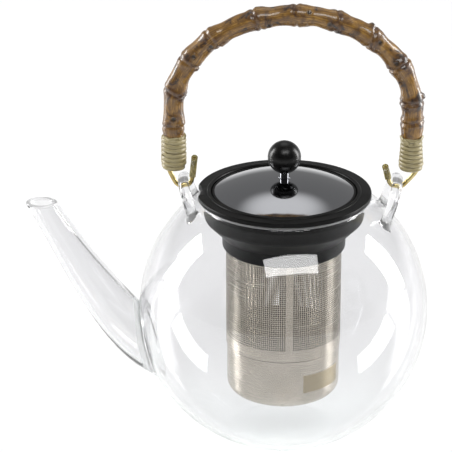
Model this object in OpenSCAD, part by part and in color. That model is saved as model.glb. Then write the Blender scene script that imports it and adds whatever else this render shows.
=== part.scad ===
// Glass press teapot with a swinging bamboo bail.
// Frame: +Z up, spout toward -X, origin at the centre of the flat base.
// The bail, its two glass lugs and the spout all lie in the XZ plane.

/* [Glass body] */
// Outer radius of the blown ball
ball_r = 80; // [66:1:96]
// Wall thickness of the blown glass
glass_t = 2.5; // [2:0.1:3]
// Radius at which the full ball would be cut off by the table
foot_r = 29; // [22:1:36]
// Rounding between the base and the ball
foot_round = 12; // [8:1:16]
// Outer radius of the neck
neck_r = 46.5; // [38:0.5:56]
// Height of the straight neck above the ball
neck_h = 1.4; // [1:0.1:6]
// Fillet between the ball and the neck
neck_fillet = 1; // [0.5:0.1:1.2]

/* [Spout] */
// Angle of the spout root below the middle of the ball
root_drop = 15; // [8:1:22]
// Outer radius of the ring where the spout is fused on
root_r = 21; // [17:0.5:24]
// Distance of the lip beyond the ball
lip_reach = 53; // [44:1:64]
// Height of the lip below the rim of the neck
lip_drop = 5; // [0:1:12]
// Outer radius of the tube at the lip
lip_r = 7.65; // [6:0.05:9.5]
// Direction in which the tube arrives at the lip
lip_heading = 119; // [110:1:125]
// Wall thickness of the spout
spout_t = 2.5; // [1.8:0.1:2.8]

/* [Lugs] */
// Radius of the glass rod that the loops are bent from
lug_rod_r = 2.9; // [2.4:0.1:3.2]
// Half the width of a loop, between rod centres
lug_half_w = 15.5; // [13:0.5:18]
// Outward lean of the loops
lug_lean = 19; // [10:1:26]
// Distance of the front loop's top outside the neck
front_lug_out = 8.8; // [8:0.1:14]
// Distance of the rear loop's top outside the neck
rear_lug_out = 15.4; // [8:0.1:18]
// Height of the loops' tops (rod centre) above the rim
lug_rise = 9.9; // [8:0.1:14]

/* [Infuser frame] */
// Overhang of the flange outside the neck
flange_over = 1.4; // [0.8:0.1:3]
// Thickness of the flange
flange_t = 2.8; // [2.2:0.1:4]
// Clearance between the plug and the neck bore
plug_gap = 0.6; // [0.3:0.1:1]
// Depth of the plug below the flange
plug_h = 13; // [11:0.5:16]
// Height of the cone that narrows the plug to the collar
cone_h = 9; // [7:0.5:12]
// Height of the collar that holds the strainer
collar_h = 9.5; // [7:0.5:12]
// Wall thickness of the collar
collar_t = 2; // [1.5:0.1:3]
// Width of the scallop that clears the front hook
notch_w = 22; // [18:0.5:26]
// Depth of the scallop
notch_depth = 2.2; // [1:0.1:2.6]

/* [Strainer] */
// Outer radius of the perforated sleeve
sleeve_r = 31.8; // [28:0.1:34]
// Thickness of the strainer's sheet steel
sheet_t = 0.5; // [0.4:0.05:0.8]
// Gap between the cup and the glass floor
floor_gap = 23.5; // [12:0.5:30]
// Height of the drawn cup
cup_h = 35; // [26:1:42]
// Rounding at the bottom edge of the cup
cup_round = 6; // [3:0.5:8]
// Height of the lap where the sleeve grips the cup
lap_h = 6; // [4:0.5:8]
// Width of the sleeve's welded seam strip
seam_w = 3.8; // [2.5:0.1:5]
// Angle of the seam strip, counted from +X
seam_angle = -84.3; // [-180:0.1:180]

/* [Lid] */
// Width of the ledge that the lid rests on
ledge_w = 3; // [2:0.1:4]
// Depth of the lid's skirt inside the frame
skirt_h = 9.3; // [8:0.1:11]
// Clearance between the lid and the frame
lid_gap = 0.4; // [0.3:0.05:0.8]
// Width of the black ring left around the dome
lid_ring_w = 1.4; // [1:0.1:3]
// Rise of the steel dome
dome_rise = 7.6; // [5:0.1:10]

/* [Plunger] */
// Radius of the ball knob
knob_r = 9.15; // [7:0.05:12]
// Length of bare rod between the dome and the pressed knob
knob_lift = 3.1; // [2:0.1:6]
// Radius of the rod
rod_r = 2.5; // [2:0.1:3]
// Running clearance of the rod in the lid's hub
rod_gap = 0.05; // [0.02:0.01:0.1]
// Height of the pressed plate above the bottom of the cup
press_lift = 6; // [5:0.5:12]
// Clearance between the silicone seal and the cup
seal_gap = 0.3; // [0.3:0.05:0.8]

/* [Bail] */
// Distance of the front bamboo leg outside the front loop
front_leg_out = 5; // [4:0.1:9]
// Distance of the rear bamboo leg outside the rear loop
rear_leg_out = 7.1; // [4:0.1:9]
// Height of the arch's middle line above the pivot
bail_rise = 98.6; // [90:0.1:125]
// Height of the straight legs above the pivot
leg_rise = 45.9; // [38:0.1:55]
// Radius of the bamboo between its nodes
bamboo_r = 5.75; // [5.6:0.05:7]
// Extra radius at a bamboo node
node_swell = 1; // [0.4:0.1:1.4]
// Radius of the trimmed bamboo ends under the bindings
bail_end_r = 5.2; // [4.8:0.1:5.4]

/* [Bindings and hooks] */
// Radius of the cane bindings at their widest
binding_r = 7.1; // [6.6:0.1:8]
// Height of the bindings
binding_h = 20.6; // [16:0.1:24]
// Height of the bindings' underside above the pivot
binding_rise = 9.9; // [9.6:0.1:14]
// Radius of the hook wire
wire_r = 1.2; // [0.9:0.05:1.3]
// Radius of the hook's bend, to the middle of the wire
hook_r = 5; // [5:0.1:5.6]
// Outer radius of the vinyl sleeve on the hook's tip
vinyl_r = 1.8; // [1.6:0.05:1.9]

/* [Hidden] */
$fn = 96;
eps = 0.01;
fit_gap = 0.05;

// Ball, neck and rim
ball_z = sqrt(pow(ball_r, 2) - pow(foot_r, 2));
neck_z = ball_z + sqrt(pow(ball_r, 2) - pow(neck_r, 2));
rim_z = neck_z + neck_h;
bore_r = neck_r - glass_t;
port_r = root_r - 1.4 * spout_t;

// Infuser frame, from the flange down to the collar
flange_z = rim_z + fit_gap;
flange_top = flange_z + flange_t;
flange_r = neck_r + flange_over;
plug_r = bore_r - plug_gap;
plug_t = 3.4;
seat_r = plug_r - plug_t;
plug_z = flange_z - plug_h;
cone_z = plug_z - cone_h;
collar_r = sleeve_r + collar_t;
collar_z = cone_z - collar_h + 2;
bead_h = 0.7;
bead_w = 2.4;

// Strainer
cup_z = glass_t + floor_gap;
cup_r = sleeve_r - sheet_t - fit_gap;
sleeve_z = cup_z + cup_h - lap_h;
sleeve_top = cone_z + 1.5;

// Lid
skirt_r = seat_r - lid_gap;
ledge_z = flange_top - skirt_h;
dome_r = skirt_r - lid_ring_w;
dome_z = flange_top;
dome_sphere_r = (pow(dome_r, 2) + pow(dome_rise, 2)) / (2 * dome_rise);
dome_top = dome_z + dome_rise;
dome_t = 0.6;
hub_r = 6;

// Plunger
knob_z = dome_top + knob_lift + knob_r;
press_z = cup_z + press_lift;
press_t = 4;
seal_t = 2;
seal_r = cup_r - sheet_t - seal_gap;
press_r = seal_r - 1.2;
groove_r = press_r - 1.6;
nut_h = 3.2;

// Loops, pivot and bail
lug_z = rim_z + lug_rise;
front_lug_x = neck_r + front_lug_out;
rear_lug_x = neck_r + rear_lug_out;
pivot_z = lug_z - lug_rod_r - wire_r - 0.3;
hook_z = pivot_z + hook_r;
binding_z = pivot_z + binding_rise;
front_leg_x = front_lug_x + front_leg_out;
rear_leg_x = rear_lug_x + rear_leg_out;
arch_x = (rear_leg_x - front_leg_x) / 2;
arch_a = (rear_leg_x + front_leg_x) / 2;
arch_b = bail_rise - leg_rise;
arch_z = pivot_z + leg_rise;
bail_end_z = binding_z + 2;
// The arch is counted in degrees; on the legs one degree is one millimetre
leg_len = arch_z - bail_end_z;
shank_top = binding_z + 11;
node_places = [-9, 3, 27, 49, 68, 87, 106, 130, 148, 168, 189];
node_reach = 3.2;

function heading(a) = [cos(a), sin(a)];
function unit(v) = v / norm(v);
function bezier(p, t) = p[0] * pow(1 - t, 3) + 3 * p[1] * t * pow(1 - t, 2)
    + 3 * p[2] * pow(t, 2) * (1 - t) + p[3] * pow(t, 3);
function sum(v, i = 0) = i < len(v) ? v[i] + sum(v, i + 1) : 0;

// ---------------------------------------------------------------- skins

// Closed skin over a list of equal rings; the last ring joins the first
module loop_skin(rings) {
    n = len(rings[0]);
    m = len(rings);
    polyhedron(
        points = [for (ring = rings) each ring],
        faces = [for (j = [0:m - 1], i = [0:n - 1])
            let (a = j * n + i, b = j * n + (i + 1) % n,
                 c = ((j + 1) % m) * n + i, d = ((j + 1) % m) * n + (i + 1) % n)
            each [[a, b, d], [a, d, c]]]);
}

// Closed skin over a list of equal rings, with a flat cap at each end
module capped_skin(rings) {
    n = len(rings[0]);
    m = len(rings);
    sides = [for (j = [0:m - 2], i = [0:n - 1])
        let (a = j * n + i, b = j * n + (i + 1) % n, c = a + n, d = b + n)
        each [[a, b, d], [a, d, c]]];
    caps = [[for (i = [0:n - 1]) n - 1 - i], [for (i = [0:n - 1]) (m - 1) * n + i]];
    polyhedron(points = [for (ring = rings) each ring], faces = concat(sides, caps));
}

// Round bar from p to q
module bar(p, q, r) {
    d = q - p;
    translate(p)
        rotate([0, acos(d.z / norm(d)), atan2(d.y, d.x)])
            cylinder(h = norm(d), r = r, $fn = 32);
}

// ---------------------------------------------------------------- glass

// Solid ball with its flat foot, moved inward by inset
module ball_solid(inset) {
    off = sqrt(pow(ball_r - foot_round, 2) - pow(ball_z - foot_round, 2));
    lean = atan2(ball_z - foot_round, off);
    cut_z = ball_z - (ball_r - inset) * sin(lean);
    round_r = foot_round - inset;
    difference() {
        translate([0, 0, ball_z]) sphere(r = ball_r - inset, $fn = 180);
        translate([-ball_r, -ball_r, cut_z - 2 * ball_r]) cube(2 * ball_r);
    }
    rotate_extrude() {
        translate([0, inset]) square([off, cut_z - inset + eps]);
        intersection() {
            translate([off, foot_round]) circle(r = round_r);
            translate([0, inset]) square([ball_r, cut_z - inset + eps]);
        }
    }
}

// Outside of the neck: fillet, straight wall and full-round rim
module neck_ring() {
    fillet_x = neck_r + neck_fillet;
    fillet_z = ball_z + sqrt(pow(ball_r + neck_fillet, 2) - pow(fillet_x, 2));
    low_z = ball_z + sqrt(pow(ball_r, 2) - pow(fillet_x, 2));
    rotate_extrude() {
        translate([bore_r, neck_z - glass_t]) square([glass_t, neck_h + glass_t / 2]);
        translate([neck_r - glass_t / 2, rim_z - glass_t / 2]) circle(d = glass_t);
        difference() {
            polygon([[neck_r - eps, fillet_z], [neck_r - eps, low_z - 0.5],
                     [fillet_x, low_z - 0.5], [fillet_x, fillet_z]]);
            translate([fillet_x, fillet_z]) circle(r = neck_fillet);
        }
    }
}

module pot_body() color([0.88, 0.93, 0.92, 0.35]) difference() {
    union() {
        difference() {
            ball_solid(0);
            translate([0, 0, neck_z - glass_t / 2])
                cylinder(r = neck_r - glass_t / 2, h = ball_r);
        }
        neck_ring();
    }
    ball_solid(glass_t);
    translate([0, 0, ball_z]) cylinder(r = bore_r, h = rim_z);
    translate([0, 0, ball_z]) rotate([0, -90 - root_drop, 0])
        translate([0, 0, ball_r / 2]) cylinder(r = port_r, h = ball_r);
}

// The spout is lofted between an upper and a lower outline. Both start on the
// ring fused to the ball and end at the level lip.
root_out = heading(180 + root_drop);
root_up = heading(90 + root_drop);
root_mid = [0, ball_z] + root_out * sqrt(pow(ball_r, 2) - pow(root_r, 2));
lip_mid = [-ball_r - lip_reach, rim_z - lip_drop];
lip_half = [lip_r / sin(lip_heading), 0];
spout_flare = 1.7;
top_start = root_mid + root_up * root_r;
low_start = root_mid - root_up * root_r;
top_line = [top_start, top_start + 20 * heading(126),
            lip_mid + lip_half - 20 * heading(lip_heading), lip_mid + lip_half];
low_line = [low_start, low_start + 34 * heading(162),
            lip_mid - lip_half - 45 * heading(lip_heading), lip_mid - lip_half];

function spout_mid(t) = (bezier(top_line, t) + bezier(low_line, t)) / 2;
function spout_arm(t) = (bezier(top_line, t) - bezier(low_line, t)) / 2;
function spout_flow(t) = unit(spout_mid(min(t + 0.02, 1)) - spout_mid(max(t - 0.02, 0)));
function spout_depth(t) = lip_r + (root_r - lip_r) * pow(1 - t, spout_flare);
function ellipse_ring(mid, arm, depth, n) = [for (i = [0:n - 1])
    let (p = mid + arm * cos(360 * i / n)) [p.x, depth * sin(360 * i / n), p.y]];
function spout_ring(t, inset, n) =
    let (arm = spout_arm(t), skew = abs(cross(unit(arm), spout_flow(t))))
    ellipse_ring(spout_mid(t), unit(arm) * (norm(arm) - inset / skew),
                 spout_depth(t) - inset, n);
function root_ring(r, n) =
    ellipse_ring([0, ball_z] + root_out * sqrt(pow(ball_r, 2) - pow(r, 2)), root_up * r, r, n);
function lifted(ring, h) = [for (p = ring) p + [0, 0, h]];

module spout() color([0.88, 0.93, 0.92, 0.35]) {
    sides = 28;
    steps = 14;
    loop_skin(concat(
        [root_ring(root_r, sides)],
        [for (k = [1:steps]) spout_ring(k / steps, 0, sides)],
        [lifted(spout_ring(1, spout_t / 2, sides), spout_t / 3)],
        [for (k = [0:steps - 1]) spout_ring(1 - k / steps, spout_t, sides)],
        [root_ring(port_r, sides)]));
}

// Loop of glass rod with both feet fused to the ball; side is -1 at the spout
module lug(side, top_x) color([0.88, 0.93, 0.92, 0.35]) difference() {
    translate([side * top_x, 0, lug_z]) rotate([0, side * lug_lean, 0]) {
        translate([0, 0, -lug_half_w]) rotate([90, 0, 90])
            rotate_extrude(angle = 180) translate([lug_half_w, 0]) circle(r = lug_rod_r, $fn = 32);
        for (y = [-lug_half_w, lug_half_w])
            translate([0, y, -lug_half_w - 12]) cylinder(r = lug_rod_r, h = 12, $fn = 32);
    }
    translate([0, 0, ball_z]) sphere(r = ball_r, $fn = 180);
}

module front_lug() lug(-1, front_lug_x);
module rear_lug() lug(1, rear_lug_x);

// ---------------------------------------------------------------- infuser

module infuser_frame() color([0.07, 0.07, 0.075]) {
    flat_gap = collar_z - cone_z;
    notch_r = (pow(notch_w / 2, 2) + pow(notch_depth, 2)) / (2 * notch_depth);
    difference() {
        rotate_extrude() polygon([
            [seat_r, flange_top], [seat_r + 0.4, flange_top + bead_h],
            [seat_r + bead_w - 0.8, flange_top + bead_h], [seat_r + bead_w, flange_top],
            [flange_r - 0.8, flange_top], [flange_r, flange_top - 0.8],
            [flange_r, flange_z + 0.6], [flange_r - 0.6, flange_z],
            [plug_r, flange_z], [plug_r, plug_z + 2], [plug_r - 0.8, plug_z],
            [collar_r, cone_z], [collar_r, collar_z + 2], [collar_r - 1.2, collar_z],
            [sleeve_r + fit_gap, collar_z], [sleeve_r + fit_gap, sleeve_top],
            [sleeve_r - 1, sleeve_top], [sleeve_r - 1, sleeve_top + 1.5],
            [seat_r - ledge_w, plug_z + 2.5], [seat_r - ledge_w, ledge_z],
            [seat_r, ledge_z]]);
        translate([notch_depth - flange_r - notch_r, 0, flange_z - 1])
            cylinder(r = notch_r, h = flange_t + 2, $fn = 180);
    }
}

module strainer_sleeve() color([0.74, 0.71, 0.67]) {
    difference() {
        translate([0, 0, sleeve_z]) cylinder(r = sleeve_r, h = sleeve_top - sleeve_z);
        translate([0, 0, sleeve_z - 1]) cylinder(r = sleeve_r - sheet_t, h = sleeve_top);
    }
    // Inner lap of the welded seam
    seam_arc = seam_w / sleeve_r * 180 / PI;
    seam_r = sleeve_r - sheet_t;
    translate([0, 0, sleeve_z + lap_h + 1]) rotate([0, 0, seam_angle - seam_arc / 2])
        rotate_extrude(angle = seam_arc)
            translate([seam_r - 0.2, 0]) square([0.2 + eps, collar_z - sleeve_z - lap_h - 2]);
}

// Drawn can with a rounded bottom edge, standing on z = 0
module can_shape(r, h, corner) rotate_extrude() {
    translate([0, corner]) square([r, h - corner]);
    square([r - corner, h]);
    translate([r - corner, corner]) circle(r = corner);
}

module strainer_cup() color([0.77, 0.74, 0.70]) difference() {
    translate([0, 0, cup_z]) can_shape(cup_r, cup_h, cup_round);
    translate([0, 0, cup_z + sheet_t])
        can_shape(cup_r - sheet_t, cup_h, cup_round - sheet_t);
}

// ---------------------------------------------------------------- lid

module lid_base() color([0.06, 0.06, 0.065]) rotate_extrude() {
    plate_z = dome_z - 3;
    polygon([
        [rod_r + rod_gap, plate_z - 5], [hub_r, plate_z - 5], [hub_r, plate_z],
        [skirt_r - 3, plate_z], [skirt_r - 3, ledge_z], [skirt_r, ledge_z],
        [skirt_r, dome_z - 0.6], [skirt_r - 0.6, dome_z], [dome_r - 1, dome_z],
        [dome_r - 1, plate_z + 1.6], [hub_r, plate_z + 1.6],
        [hub_r - 1, dome_top - dome_t - 0.4], [rod_r + rod_gap, dome_top - dome_t - 0.4]]);
}

module lid_cap() color([0.80, 0.81, 0.82]) rotate_extrude() difference() {
    intersection() {
        translate([0, dome_top - dome_sphere_r]) circle(r = dome_sphere_r, $fn = 360);
        translate([rod_r + 0.5, dome_z]) square([dome_r, 2 * dome_rise]);
    }
    translate([0, dome_top - dome_sphere_r])
        circle(r = dome_sphere_r - dome_t, $fn = 360);
}

// ---------------------------------------------------------------- plunger

module plunger_knob() color([0.05, 0.05, 0.055]) difference() {
    translate([0, 0, knob_z]) sphere(r = knob_r);
    translate([0, 0, knob_z - 2 * knob_r]) cylinder(r = rod_r, h = 2 * knob_r);
}

module plunger_rod() color([0.78, 0.79, 0.80])
    translate([0, 0, press_z - nut_h - 1]) cylinder(r = rod_r, h = knob_z - press_z + nut_h + 1);

module press_plate() color([0.08, 0.08, 0.085]) rotate_extrude() polygon([
    [rod_r, press_z], [press_r, press_z], [press_r, press_z + (press_t - seal_t) / 2],
    [groove_r, press_z + (press_t - seal_t) / 2],
    [groove_r, press_z + (press_t + seal_t) / 2],
    [press_r, press_z + (press_t + seal_t) / 2], [press_r, press_z + press_t],
    [hub_r, press_z + press_t], [hub_r - 1, press_z + press_t + 4],
    [rod_r, press_z + press_t + 4]]);

module press_seal() color([0.85, 0.85, 0.83])
    translate([0, 0, press_z + (press_t - seal_t) / 2]) rotate_extrude() polygon([
        [groove_r, 0], [seal_r - 0.7, 0], [seal_r, seal_t / 2], [seal_r - 0.7, seal_t],
        [groove_r, seal_t]]);

module rod_nut() color([0.72, 0.72, 0.72]) translate([0, 0, press_z - nut_h]) difference() {
    cylinder(r = 2 * rod_r, h = nut_h, $fn = 6);
    translate([0, 0, -1]) cylinder(r = rod_r, h = nut_h + 2);
}

// ---------------------------------------------------------------- bail

// Middle line, direction and radius of the bamboo at place u: 0 to 180 is the
// arch from rear to front, less than 0 and more than 180 are the straight legs
function bail_mid(u) =
    u < 0 ? [arch_x + arch_a, arch_z + u]
    : u > 180 ? [arch_x - arch_a, arch_z - (u - 180)]
    : [arch_x + arch_a * cos(u), arch_z + arch_b * sin(u)];
function bail_flow(u) = unit(bail_mid(u + 0.5) - bail_mid(u - 0.5));
function bail_radius(u) =
    min(u + leg_len, 180 + leg_len - u) < binding_h - 2.1 ? bail_end_r
    : bamboo_r + node_swell * sum([for (p = node_places) exp(-pow((u - p) / node_reach, 2))]);
function bail_ring(u, n) =
    let (flow = bail_flow(u), side = [-flow.y, flow.x])
    ellipse_ring(bail_mid(u), side * bail_radius(u), bail_radius(u), n);

module bamboo_bail() color([0.70, 0.48, 0.22]) difference() {
    steps = 96;
    capped_skin([for (k = [0:steps])
        bail_ring(-leg_len + (180 + 2 * leg_len) * k / steps, 16)]);
    for (side = [-1, 1])
        shank(side, wire_r + fit_gap, fit_gap);
}

// Cane wound round a leg; the underside is rounded and closed round the wire
module binding_shape(leg_x, low_r, top_r, waist) {
    edge = 3.2;
    translate([leg_x, 0, binding_z]) difference() {
        rotate_extrude() polygon(concat(
            [[0, 0]],
            [for (a = [-90:15:0]) [low_r - edge, edge] + edge * heading(a)],
            [[low_r + waist, binding_h * 0.48], [low_r + waist - 0.4, binding_h * 0.5],
             [low_r + waist, binding_h * 0.52]],
            [[top_r, binding_h - 1], [top_r - 0.6, binding_h], [0, binding_h]]));
        translate([0, 0, bail_end_z - binding_z])
            cylinder(r = bail_end_r + fit_gap, h = binding_h);
    }
}

module front_binding() color([0.80, 0.76, 0.60]) difference() {
    binding_shape(-front_leg_x, binding_r, binding_r - 0.3, 0);
    shank(-1, wire_r + fit_gap, fit_gap);
}

module rear_binding() color([0.80, 0.76, 0.60]) difference() {
    binding_shape(rear_leg_x, binding_r + 0.15, bail_end_r + 0.8, -0.5);
    shank(1, wire_r + fit_gap, fit_gap);
}

// ---------------------------------------------------------------- hooks

// Per side: loop position, leg offset, shank offset, leans and tip lengths
function lug_x(side) = side < 0 ? front_lug_x : rear_lug_x;
function shank_u(side) = side < 0 ? front_leg_out + 3.4 : rear_leg_out + 4.6;
function out_lean(side) = side < 0 ? 27 : 42;
function tip_lean(side) = side < 0 ? 6 : 13;
function tip_len(side) = side < 0 ? 9 : 5.5;
function bent_len(side) = side < 0 ? 4.5 : 3.5;

// Points of the hook in its own frame: u outward, y, z above the bend's centre
function arc_end(lean, dir) = [dir * hook_r * cos(lean), 0, -hook_r * sin(lean)];
function shank_low(side) =
    let (run = (shank_u(side) - hook_r * cos(out_lean(side))) / sin(out_lean(side)))
    [shank_u(side), 0, -hook_r * sin(out_lean(side)) + run * cos(out_lean(side))];
function tip_dir(side) = [-sin(tip_lean(side)), 0, cos(tip_lean(side))];
function bent_dir(side) = unit(tip_dir(side) + [0, -0.75, 0]);
function tip_bend(side) = arc_end(tip_lean(side), -1) + tip_len(side) * tip_dir(side);
function tip_end(side) = tip_bend(side) + bent_len(side) * bent_dir(side);

// Puts a shape from the hook's frame on its side of the pot
module on_side(side) translate([side * lug_x(side), 0, hook_z])
    if (side < 0) mirror([1, 0, 0]) children();
    else children();

// Straight shank that runs up beside or inside the end of the bamboo
module shank(side, r, extra) on_side(side) {
    low = shank_low(side);
    bar(low, [low.x, 0, shank_top - hook_z + extra], r);
    bar(arc_end(out_lean(side), 1), low, r);
    translate(low) sphere(r = r, $fn = 32);
}

// Bent round wire: a ring square to the path at each of its points
function path_flow(path, i) = unit(
    (i < len(path) - 1 ? unit(path[i + 1] - path[i]) : [0, 0, 0])
    + (i > 0 ? unit(path[i] - path[i - 1]) : [0, 0, 0]));
function wire_ring(path, i, r, n = 12) =
    let (flow = path_flow(path, i), e = unit(cross(flow, [0, 1, 0])), f = cross(e, flow))
    [for (k = [0:n - 1]) path[i] + r * (cos(360 * k / n) * e - sin(360 * k / n) * f)];
function wire_rings(path, r) = [for (i = [0:len(path) - 1]) wire_ring(path, i, r)];
function reversed(v) = [for (i = [len(v) - 1:-1:0]) v[i]];

function hook_path(side) =
    let (steps = 14, turn = 180 - tip_lean(side) - out_lean(side), low = shank_low(side))
    concat([[low.x, 0, shank_top - hook_z], low],
           [for (k = [0:steps]) let (a = -out_lean(side) - turn * k / steps)
               hook_r * [cos(a), 0, sin(a)]],
           [tip_bend(side), tip_end(side)]);

module hook(side) color([0.78, 0.64, 0.34]) on_side(side)
    capped_skin(wire_rings(hook_path(side), wire_r));

module hook_sleeve(side) color([0.80, 0.74, 0.50]) on_side(side) {
    path = [arc_end(tip_lean(side), -1) + tip_dir(side), tip_bend(side),
            tip_end(side) + 1.2 * bent_dir(side)];
    loop_skin(concat(wire_rings(path, vinyl_r),
                     reversed(wire_rings(path, wire_r + fit_gap))));
}

module front_hook() hook(-1);
module rear_hook() hook(1);
module front_hook_sleeve() hook_sleeve(-1);
module rear_hook_sleeve() hook_sleeve(1);

// ---------------------------------------------------------------- output

pot_body();
spout();
front_lug();
rear_lug();
infuser_frame();
strainer_sleeve();
strainer_cup();
lid_base();
lid_cap();
plunger_knob();
plunger_rod();
press_plate();
press_seal();
rod_nut();
bamboo_bail();
front_binding();
rear_binding();
front_hook();
rear_hook();
front_hook_sleeve();
rear_hook_sleeve();
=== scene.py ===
from math import asin, atan2, cos, degrees, exp, hypot, pi, radians, sin, sqrt

import bmesh
import bpy
import numpy as np
from mathutils import Matrix, Vector


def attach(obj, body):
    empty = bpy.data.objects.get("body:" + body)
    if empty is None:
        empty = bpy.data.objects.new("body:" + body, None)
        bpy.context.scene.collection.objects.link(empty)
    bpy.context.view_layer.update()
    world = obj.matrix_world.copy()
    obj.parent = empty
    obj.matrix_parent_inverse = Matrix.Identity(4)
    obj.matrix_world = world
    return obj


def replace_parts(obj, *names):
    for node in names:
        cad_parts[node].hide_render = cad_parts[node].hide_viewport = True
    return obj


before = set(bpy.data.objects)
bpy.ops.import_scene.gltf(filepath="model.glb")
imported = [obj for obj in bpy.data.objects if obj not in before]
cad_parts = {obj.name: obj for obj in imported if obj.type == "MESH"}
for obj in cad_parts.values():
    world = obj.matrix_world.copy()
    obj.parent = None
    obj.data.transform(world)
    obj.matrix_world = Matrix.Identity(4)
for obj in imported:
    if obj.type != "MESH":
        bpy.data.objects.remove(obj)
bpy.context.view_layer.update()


# ---------------------------------------------------------------- studio
# Camera, soft lights and a pale table. The pot is seen from slightly above,
# with a strip light on each side, a box in front and a glow high up behind.

scene = bpy.context.scene
scene.view_settings.view_transform = "Standard"

ball_mid = Vector((0, 0, 0.07456))
CAMERA_AWAY, CAMERA_RISE, CAMERA_TURN = 1.8, 23.8, -0.4
AIM_LEFT, AIM_UP = 0.0322, 0.0446
rise, turn = radians(CAMERA_RISE), radians(CAMERA_TURN)
to_camera = Vector((sin(turn) * cos(rise), -cos(turn) * cos(rise), sin(rise)))
across = Vector((cos(turn), sin(turn), 0))
upward = across.cross(-to_camera)
lens = bpy.data.cameras.new("camera")
lens.sensor_width = 36
lens.lens = 257.9
lens.clip_start, lens.clip_end = 0.05, 60
camera = bpy.data.objects.new("camera", lens)
scene.collection.objects.link(camera)
camera.location = ball_mid + to_camera * CAMERA_AWAY
aim = ball_mid - across * AIM_LEFT + upward * AIM_UP
camera.rotation_mode = "QUATERNION"
camera.rotation_quaternion = (aim - camera.location).to_track_quat("-Z", "Y")
scene.camera = camera


def softbox(name, place, width, height, watts):
    """Area light at place, facing the pot; its back gives no light."""
    lamp = bpy.data.lights.new(name, "AREA")
    lamp.shape, lamp.size, lamp.size_y, lamp.energy = "RECTANGLE", width, height, watts
    holder = bpy.data.objects.new(name, lamp)
    holder.location = place
    holder.rotation_euler = (ball_mid - holder.location).to_track_quat("-Z", "Y").to_euler()
    holder.visible_camera = False
    scene.collection.objects.link(holder)


for name, side in (("strip_left", -1), ("strip_right", 1)):
    softbox(name, (side * 2.0, 0.62, 0.70), 0.62, 1.35, 42)
softbox("box_front", (0.15, -0.87, 1.40), 1.15, 0.42, 12)

world = bpy.data.worlds.new("studio_room")
scene.world = world
world.use_nodes = True


def tone(hexcode):
    """Linear colour of an sRGB hex value."""
    parts = [int(hexcode[i:i + 2], 16) / 255 for i in (1, 3, 5)]
    return tuple(c / 12.92 if c <= 0.04045 else ((c + 0.055) / 1.055) ** 2.4
                 for c in parts) + (1.0,)


def put(tree, kind, settings):
    """Adds a node. A kind with no "Node" in it is a shader kind. A key is an input or
    a property; a value is a number, a socket or a node, which stands for its first
    output. "stops" fills a colour ramp."""
    node = tree.nodes.new(kind if "Node" in kind else "ShaderNode" + kind)
    for key, value in settings.items():
        if key == "stops":
            bar = node.color_ramp.elements
            while len(bar) < len(value):
                bar.new(0.5)
            for stop, (place, colour) in zip(bar, value):
                stop.position, stop.color = place, colour
        elif isinstance(key, str) and key not in node.inputs:
            setattr(node, key, value)
        else:
            for one in value if isinstance(value, list) else [value]:
                if isinstance(one, bpy.types.Node):
                    one = one.outputs[0]
                if isinstance(one, bpy.types.NodeSocket):
                    tree.links.new(one, node.inputs[key])
                else:
                    node.inputs[key].default_value = one
    return node


def new_finish(name):
    """Material with its tree, its output and the piece's own coordinates."""
    finish = bpy.data.materials.new(name)
    finish.use_nodes = True
    tree = finish.node_tree
    tree.nodes.clear()
    where = put(tree, "TexCoord", {}).outputs["Object"]
    return finish, tree, where


# The room is light grey, paler near the ground, with a soft glow high up behind
# the pot, and it is darker on the viewer's side
room = world.node_tree
look = put(room, "TexCoord", {}).outputs["Generated"]
to_glow = put(room, "VectorMath", {"operation": "DOT_PRODUCT", 0: look, 1: (0, 0.5, 0.866)})
glow = put(room, "MapRange", {
    "interpolation_type": "SMOOTHERSTEP", "Value": to_glow.outputs["Value"],
    "From Min": 0.915, "From Max": 1.0, "To Min": 0.32, "To Max": 1.5})
room.nodes["Background"].inputs["Color"].default_value = (1, 1, 1, 1)
ahead = put(room, "SeparateXYZ", {0: look})
viewer_side = put(room, "MapRange", {
    "Value": ahead.outputs["Y"], "From Min": -0.5, "From Max": 0.1,
    "To Min": 0.22, "To Max": 1.0})
near_ground = put(room, "MapRange", {
    "Value": ahead.outputs["Z"], "From Min": 0.02, "From Max": 0.16,
    "To Min": 0.5, "To Max": 0.0})
all_round = put(room, "Math", {"operation": "ADD", 0: glow, 1: near_ground})
strength = put(room, "Math", {"operation": "MULTIPLY", 0: all_round, 1: viewer_side})
room.links.new(strength.outputs[0], room.nodes["Background"].inputs["Strength"])


table, tree, where = new_finish("white_table")
sheen_of_table = put(tree, "BsdfPrincipled", {
    "Base Color": tone("#c0c0c0"), "Roughness": 0.12, "IOR": 1.5,
    "Emission Color": (1, 1, 1, 1), "Emission Strength": 0.52})
put(tree, "OutputMaterial", {"Surface": sheen_of_table})
bm = bmesh.new()
bmesh.ops.create_circle(bm, cap_ends=True, segments=96, radius=12)
floor_mesh = bpy.data.meshes.new("floor")
bm.to_mesh(floor_mesh)
bm.free()
floor_mesh.materials.append(table)
floor = bpy.data.objects.new("floor", floor_mesh)
floor.location.z = -0.0002
scene.collection.objects.link(floor)


# ---------------------------------------------------------------- glass pot
# Blown borosilicate ball with a flat foot and a fire-polished rim. The spout
# is drawn from tube and fused over a port; two loops of glass rod are fused
# on the shoulders. All of it is one piece of glass.

MM = 0.001
BALL_R, BALL_Z, WALL = 80, 74.557, 2.5
FOOT_ROUND = 12
NECK_R, RIM_Z = 46.5, 141.055
GLASS_NODES = ("pot_body", "spout", "front_lug", "rear_lug")


def arc(cx, cz, r, start, end, steps):
    """Points (r, z) on a circle, angles in degrees."""
    return [(cx + r * cos(radians(start + (end - start) * k / steps)),
             cz + r * sin(radians(start + (end - start) * k / steps)))
            for k in range(steps + 1)]


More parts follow.
